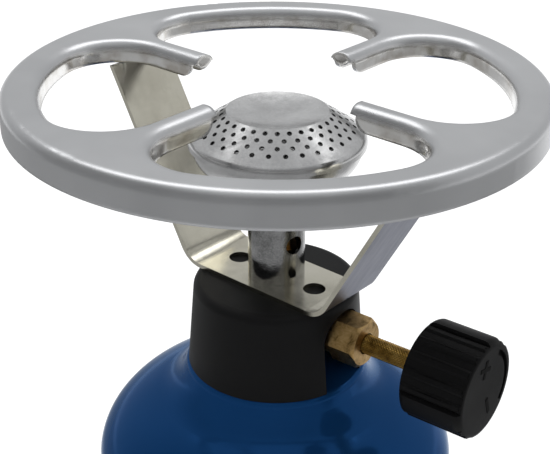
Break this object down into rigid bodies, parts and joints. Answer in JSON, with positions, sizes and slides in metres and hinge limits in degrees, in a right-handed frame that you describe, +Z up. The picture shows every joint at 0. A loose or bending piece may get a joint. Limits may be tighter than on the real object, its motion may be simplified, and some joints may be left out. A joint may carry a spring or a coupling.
{
  "type": "camping gas burner",
  "caption": "Portable camping stove burner standing on an enclosed gas cartridge, with a knob valve, a perforated burner head and a stamped ring that carries a pan.",
  "frame": {"origin": "centre of the flat base, on the surface the burner stands on", "axes": "+Z up along the cartridge and burner axis, +X along the valve spindle towards the knob"},
  "size_m": [0.126, 0.126, 0.1773],
  "materials": {
    "housing_enamel": "glossy dark blue enamel",
    "can_steel": "plain lacquered steel",
    "seal_rubber": "matte",
    "needle_steel": "ground",
    "filter_bronze": "sintered, rough",
    "valve_brass": "turned, aged",
    "spindle_brass": "knurled, aged",
    "black_plastic": "matte",
    "bracket_steel": "bright nickel",
    "support_steel": "satin",
    "burner_chrome": "polished"
  },
  "bodies": {
    "base": {"base_cup": "housing_enamel", "gas_cartridge": "can_steel"},
    "seal": {"cartridge_seal": "seal_rubber"},
    "housing": {"upper_housing": "housing_enamel", "piercing_needle": "needle_steel", "gas_filter": "filter_bronze", "valve_body": "valve_brass", "neck_washer": "bracket_steel", "valve_lock_nut": "valve_brass", "top_cap": "black_plastic", "gland_nut": "valve_brass", "support_bracket": "bracket_steel", "pan_support": "support_steel", "mixing_tube": "burner_chrome", "injector": "valve_brass", "burner_bowl": "burner_chrome", "burner_cap": "burner_chrome"},
    "stem_seal": {"stem_o_ring": "seal_rubber"},
    "spindle": {"valve_spindle": "spindle_brass", "knob": "black_plastic"}
  },
  "joints": [
    {"name": "housing_lift", "type": "slide", "parent": "base", "child": "seal", "axis": [0, 0, 1], "range_m": [0, 0.006]},
    {"name": "housing_turn", "type": "hinge", "parent": "seal", "child": "housing", "pos_m": [0, 0, 0], "axis": [0, 0, 1], "range_deg": [0, 540]},
    {"name": "stem_travel", "type": "slide", "parent": "housing", "child": "stem_seal", "axis": [1, 0, 0], "range_m": [0, 0.0017]},
    {"name": "knob_turn", "type": "hinge", "parent": "stem_seal", "child": "spindle", "pos_m": [0, 0, 0.1158], "axis": [1, 0, 0], "range_deg": [0, 540]}
  ],
  "couplings": [
    {"joint": "housing_lift", "follows": "housing_turn", "m_per_rad": 0.00063662},
    {"joint": "stem_travel", "follows": "knob_turn", "m_per_rad": 0.00015915}
  ]
}
